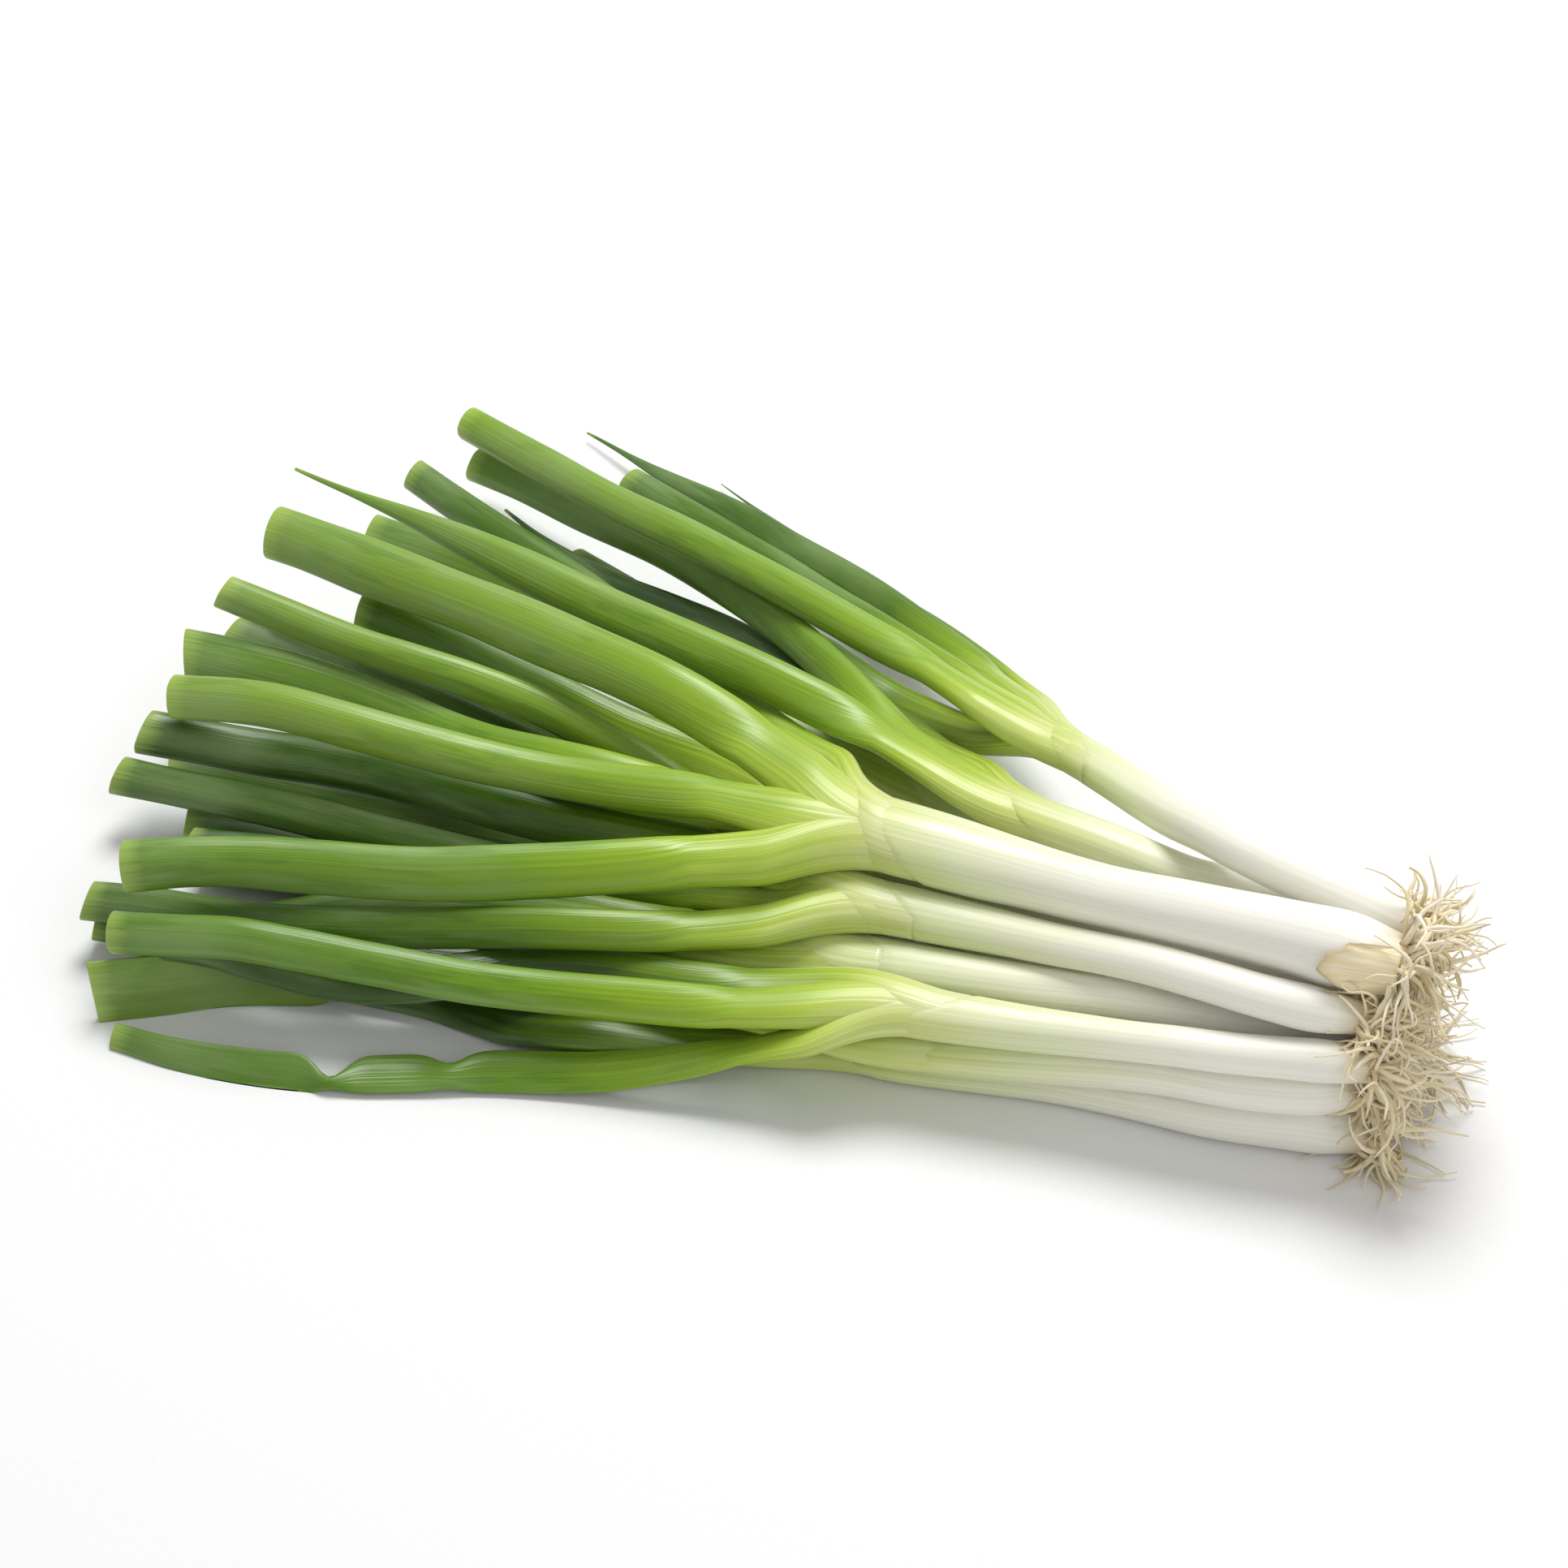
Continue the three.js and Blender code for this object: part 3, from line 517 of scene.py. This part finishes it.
def make_roots(name, shank, rng, material):
    """A tuft of dry, curly roots that spread from the root plate, some of them back over the bulb."""
    reach = Strand(name).length
    (centre,), (side,), (top,), (forward,) = shank.frame(np.array([0.0]))
    out = -forward
    plate = shank.halves[0].mean()
    points, faces, straight, habit = [], [], [], []
    angles = np.linspace(0, 2 * math.pi, ROOT_SIDES, endpoint=False)
    along = np.linspace(0, 1, ROOT_STEPS + 1)
    for number in range(ROOTS_PER_PLANT):
        if number % ROOTS_PER_CLUMP == 0:
            turn, ring = rng.uniform(0, 2 * math.pi), math.sqrt(rng.uniform(0.02, 1))
        radial = side * math.cos(turn) + top * math.sin(turn)
        lean = ROOT_LEAN[0] + ROOT_LEAN[1] * ring ** 2
        way = unit(out * math.cos(lean) + radial * math.sin(lean) + rng.normal(0, 0.16, 3))
        start = centre + radial * plate * ROOT_SPREAD * ring + rng.normal(0, ROOT_SCATTER, 3)
        length = reach * rng.uniform(*ROOT_REACH)
        spine = root_path(start, way, length, rng)
        forwards = unit(np.gradient(spine, axis=0))
        across = unit(np.cross(forwards, rng.normal(0, 1, 3)))
        over = np.cross(across, forwards)
        thick = ROOT_RADIUS * rng.uniform(*ROOT_THICKNESS) * mix(1, ROOT_TIP_SHARE, along ** 1.3)
        rings = ring_offsets(np.stack([thick, ROOT_FLATNESS * thick], 1), angles, across, over)
        faces.extend(tube_faces(len(spine), ROOT_SIDES, number * len(spine) * ROOT_SIDES))
        fibre = (spine[:, None] + rings).reshape(-1, 3)
        fibre[:, 2] = np.maximum(fibre[:, 2], FLOOR_GAP)
        points.append(fibre)
        run = np.repeat(along * length, ROOT_SIDES)
        around = np.tile(angles, len(spine))
        straight.append(np.stack(
            [np.cos(around) * ROOT_RADIUS, np.sin(around) * ROOT_RADIUS, run + number], -1))
        habit.append(np.stack([run, np.full_like(run, ring), np.full_like(run, rng.uniform(-1, 1))], -1))
    piece = make_mesh(
        name.replace("roots", "root_tuft"), np.vstack(points), faces, np.vstack(straight), np.vstack(habit),
        material)
    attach(piece, "root")
    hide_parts(name)


# ---- Materials -------------------------------------------------------------------------------------
def linear(red, green, blue):
    """A colour in 0 to 255 as the renderer's linear numbers."""
    channels = [value / 255 for value in (red, green, blue)]
    return (*[v / 12.92 if v <= 0.04045 else ((v + 0.055) / 1.055) ** 2.4 for v in channels], 1.0)


class Nodes:
    """A short way to write a node tree."""

    def __init__(self, name):
        self.material = bpy.data.materials.new(name)
        self.material.use_nodes = True
        self.tree = self.material.node_tree
        self.shader = self.tree.nodes["Principled BSDF"]

    def add(self, kind, inputs=None, **settings):
        node = self.tree.nodes.new(kind)
        for key, value in settings.items():
            setattr(node, key, value)
        for key, value in (inputs or {}).items():
            self.put(value, node.inputs[key])
        return node

    def put(self, value, socket):
        if isinstance(value, bpy.types.NodeSocket):
            self.tree.links.new(value, socket)
        else:
            socket.default_value = value

    def attribute(self, name):
        return self.add("ShaderNodeAttribute", attribute_name=name).outputs["Vector"]

    def split(self, vector):
        return self.add("ShaderNodeSeparateXYZ", {0: vector}).outputs

    def noise(self, vector, scale, detail=2.0):
        """Noise whose grain is scale = (across, across, along) cells to the metre."""
        stretched = self.add("ShaderNodeVectorMath", {0: vector, 1: scale}, operation="MULTIPLY").outputs[0]
        inputs = {"Vector": stretched, "Scale": 1.0, "Detail": detail}
        return self.add("ShaderNodeTexNoise", inputs).outputs["Fac"]

    def ramp(self, value, stops):
        """A colour ramp: stops are (place, colour), place from 0 to 1."""
        node = self.add("ShaderNodeValToRGB", {"Fac": value})
        elements = node.color_ramp.elements
        while len(elements) < len(stops):
            elements.new(0.5)
        for element, (place, colour) in zip(elements, stops):
            element.position = place
            element.color = colour
        return node.outputs["Color"]

    def spread(self, value, low, high, to_low=0.0, to_high=1.0):
        return self.add("ShaderNodeMapRange", {
            "Value": value, "From Min": low, "From Max": high, "To Min": to_low, "To Max": to_high,
        }).outputs["Result"]

    def blend(self, factor, a, b, mode="MIX"):
        node = self.add("ShaderNodeMix", data_type="RGBA", blend_type=mode)
        for socket, value in ((node.inputs[0], factor), (node.inputs[6], a), (node.inputs[7], b)):
            self.put(value, socket)
        return node.outputs[2]

    def math(self, operation, a, b):
        return self.add("ShaderNodeMath", {0: a, 1: b}, operation=operation).outputs[0]

    def bump(self, height, distance, strength=1.0, under=None):
        inputs = {"Height": height, "Distance": distance, "Strength": strength}
        if under is not None:
            inputs["Normal"] = under
        return self.add("ShaderNodeBump", inputs).outputs["Normal"]


def skin_material(name, roughness, wax_and_sheen, relief_share):
    """Living onion skin: white below, green above, with veins along it, a pale waxy coat that is partly
    painted sheen, and a pale cut end. A leaf's tone darkens or lightens it, partly as painted shade and
    painted light.
    """
    n = Nodes(name)
    straight, habit = n.attribute("straight"), n.attribute("habit")
    climb = n.split(straight)[2]
    tip, from_plate, tone = n.split(habit)
    patches = n.noise(straight, (160, 160, 22), 3.0)
    rubbed = n.noise(straight, (420, 420, 46), 4.0)
    veins = n.noise(straight, (1900, 1900, 6), 2.0)
    fine = n.noise(straight, (3600, 3600, 60), 2.0)
    # The border between white and green is ragged and runs further along some veins than others.
    ragged = n.math("ADD", climb, n.spread(veins, 0.3, 0.7, -0.006, 0.006))
    ragged = n.math("ADD", ragged, n.spread(patches, 0.3, 0.7, -0.010, 0.010))
    place = n.spread(ragged, -0.12, 0.18)
    body = n.ramp(place, (
        (0.00, linear(242, 239, 230)), (0.20, linear(241, 240, 226)), (0.31, linear(224, 229, 188)),
        (0.40, linear(202, 212, 128)), (0.46, linear(174, 196, 68)), (0.53, linear(142, 176, 30)),
        (0.63, linear(112, 150, 24)), (0.80, linear(96, 134, 30)), (1.00, linear(92, 130, 38)),
    ))
    green = n.spread(ragged, 0.01, 0.075)
    # Painted shade and light: a low tone darkens the leaf towards deep green, partly its own darker tone
    # and partly painted shade on inner leaves in shadow; a high tone lightens it, partly painted light on
    # leaves that catch the lamp.
    dark = n.math("MULTIPLY", n.spread(tone, 0.0, -1.0), green)
    body = n.blend(dark, body, linear(40, 72, 16))
    light = n.math("MULTIPLY", n.spread(tone, 0.0, 1.0, 0.0, 0.8), green)
    body = n.blend(light, body, linear(142, 174, 60))
    # Pale greyish waxy coat in patches: partly the leaf's real coat, partly painted sheen.
    bloom_and_sheen = n.math("MULTIPLY", n.spread(patches, 0.42, 0.72, 0.0, wax_and_sheen), green)
    body = n.blend(bloom_and_sheen, body, linear(146, 170, 114))
    bare = n.math("MULTIPLY", n.spread(rubbed, 0.55, 0.64, 0.0, 0.4), green)
    body = n.blend(bare, body, n.blend(1.0, body, linear(178, 208, 120), "MULTIPLY"))
    furrow = n.blend(0.5, body, linear(20, 50, 10), "MULTIPLY")
    body = n.blend(n.spread(veins, 0.35, 0.68, 0.0, 0.13), body, furrow)
    body = n.blend(n.spread(fine, 0.5, 0.8, 0.0, 0.16), body, linear(205, 220, 150), "SOFT_LIGHT")
    cut = n.spread(n.math("ADD", tip, n.spread(veins, 0.3, 0.7, 0.0, 0.002)), 0.0055, 0.0005, 0.0, 0.6)
    body = n.blend(cut, body, linear(178, 202, 96))
    earthy = n.math("MULTIPLY", n.spread(from_plate, 0.006, -0.001), n.spread(fine, 0.3, 0.6, 0.55, 1.0))
    body = n.blend(earthy, body, linear(206, 186, 138))
    n.put(body, n.shader.inputs["Base Color"])
    n.put(n.spread(patches, 0.3, 0.7, roughness - 0.06, roughness + 0.1), n.shader.inputs["Roughness"])
    relief = n.bump(veins, 0.00035, 0.36 * relief_share)
    relief = n.bump(fine, 0.00012, 0.4 * relief_share, relief)
    n.put(relief, n.shader.inputs["Normal"])
    n.put(0.12, n.shader.inputs["Subsurface Weight"])
    n.put((0.004, 0.005, 0.002), n.shader.inputs["Subsurface Radius"])
    n.put(0.5, n.shader.inputs["Subsurface Scale"])
    return n.material


def root_material():
    """Dry root fibre: straw coloured, darker and earthier near the plate, with rough lengthwise grain."""
    n = Nodes("root_fibre")
    straight, habit = n.attribute("straight"), n.attribute("habit")
    along, ring, tone = n.split(habit)
    grain = n.noise(straight, (3000, 3000, 500), 3.0)
    body = n.ramp(n.spread(tone, -1.0, 1.0), (
        (0.0, linear(224, 208, 164)), (0.35, linear(240, 228, 194)), (1.0, linear(249, 241, 218))))
    body = n.blend(n.spread(grain, 0.4, 0.8, 0.0, 0.4), body, linear(196, 168, 118))
    body = n.blend(n.spread(along, 0.004, 0.0, 0.0, 0.55), body, linear(184, 152, 98))
    n.put(body, n.shader.inputs["Base Color"])
    n.put(0.8, n.shader.inputs["Roughness"])
    n.put(n.bump(grain, 0.0002, 0.6), n.shader.inputs["Normal"])
    return n.material


def husk_material():
    """Dry papery skin: cream yellow, browner at its torn edge."""
    n = Nodes("husk_paper")
    straight, habit = n.attribute("straight"), n.attribute("habit")
    share = n.split(habit)[1]
    veins = n.noise(straight, (1400, 1400, 40), 3.0)
    body = n.ramp(veins, (
        (0.3, linear(236, 218, 168)), (0.6, linear(246, 236, 204)), (0.8, linear(226, 204, 148))))
    body = n.blend(n.spread(share, 0.8, 1.0, 0.0, 0.6), body, linear(206, 178, 120))
    n.put(body, n.shader.inputs["Base Color"])
    n.put(0.55, n.shader.inputs["Roughness"])
    n.put(n.bump(veins, 0.0003, 0.6), n.shader.inputs["Normal"])
    return n.material


# ---- Build the bunch -------------------------------------------------------------------------------
SKIN = {
    "shank": skin_material("shank_skin", 0.32, 0.0, 0.35),
    "leaf": skin_material("leaf_skin", 0.33, 0.55, 1.0),
}
ROOT_FIBRE = root_material()
HUSK_PAPER = husk_material()


def build_bunch():
    for shank_name in sorted(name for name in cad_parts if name.endswith("_shank")):
        plant = shank_name.removesuffix("_shank")
        seed = int(plant.rsplit("_", 1)[1])
        rng = np.random.default_rng(seed)
        shank = Strand(shank_name)
        make_shank(shank_name, shank, rng, SKIN["shank"])
        make_roots(plant + "_roots", shank, rng, ROOT_FIBRE)
        if shank_name == HUSKED:
            make_husk(shank_name, shank, np.random.default_rng(HUSK_SEED), HUSK_PAPER)
        leaves = sorted(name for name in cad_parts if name.startswith(plant + "_leaf_"))
        for layer, (leaf_name, tone) in enumerate(zip(leaves, LEAF_TONES_WITH_PAINTED_SHADE_AND_LIGHT[plant], strict=True)):
            make_leaf(leaf_name, shank, layer, tone, rng, SKIN["leaf"])


# ---- Studio ----------------------------------------------------------------------------------------
CAMERA_ELEVATION = math.radians(42)
CAMERA_DISTANCE = 1.0
CAMERA_TARGET = Vector((0.0017, -0.0013, 0.0))
LENS = 98.1  # focal length in millimetres
FLOOR_SIZE = 8
FLOOR_DARK, FLOOR_LIGHT = (0.8, 0.8, 0.8, 1), (0.84, 0.84, 0.84, 1)
FLOOR_GRAIN = (900, 900, 900)  # cells to the metre
WORLD_STRENGTH = 0.42
KEY_PLACE, KEY_SIZE, KEY_WATTS = (0.12, 0.6, 1.35), 0.8, 20.5
FILL_PLACE, FILL_SIZE, FILL_WATTS = (0.6, -1.0, 0.9), 1.2, 4.2


def add_camera():
    camera = bpy.data.objects.new("camera", bpy.data.cameras.new("camera"))
    camera.data.lens = LENS
    away = Vector((0, -math.cos(CAMERA_ELEVATION), math.sin(CAMERA_ELEVATION)))
    camera.location = CAMERA_TARGET + away * CAMERA_DISTANCE
    camera.rotation_euler = (math.pi / 2 - CAMERA_ELEVATION, 0, 0)
    bpy.context.scene.collection.objects.link(camera)
    bpy.context.scene.camera = camera


def add_light(name, place, size, watts):
    """A round lamp that points at the middle of the floor."""
    light = bpy.data.lights.new(name, "AREA")
    light.shape = "DISK"
    light.size = size
    light.energy = watts
    lamp = bpy.data.objects.new(name, light)
    lamp.location = place
    lamp.rotation_euler = (-Vector(place)).to_track_quat("-Z", "Y").to_euler()
    bpy.context.scene.collection.objects.link(lamp)


def add_studio():
    n = Nodes("floor_paper")
    grain = n.noise(n.add("ShaderNodeTexCoord").outputs["Object"], FLOOR_GRAIN, 2.0)
    n.put(n.ramp(grain, ((0.0, FLOOR_DARK), (1.0, FLOOR_LIGHT))), n.shader.inputs["Base Color"])
    n.put(0.9, n.shader.inputs["Roughness"])
    bpy.ops.mesh.primitive_plane_add(size=FLOOR_SIZE)
    floor = bpy.context.object
    floor.name = "floor"
    floor.data.materials.append(n.material)
    world = bpy.data.worlds.new("studio")
    world.use_nodes = True
    world.node_tree.nodes["Background"].inputs["Color"].default_value = (1, 1, 1, 1)
    world.node_tree.nodes["Background"].inputs["Strength"].default_value = WORLD_STRENGTH
    bpy.context.scene.world = world
    add_light("key", KEY_PLACE, KEY_SIZE, KEY_WATTS)
    add_light("fill", FILL_PLACE, FILL_SIZE, FILL_WATTS)
    bpy.context.scene.view_settings.view_transform = "Standard"


add_camera()
add_studio()
build_bunch()

bpy.context.view_layer.update()
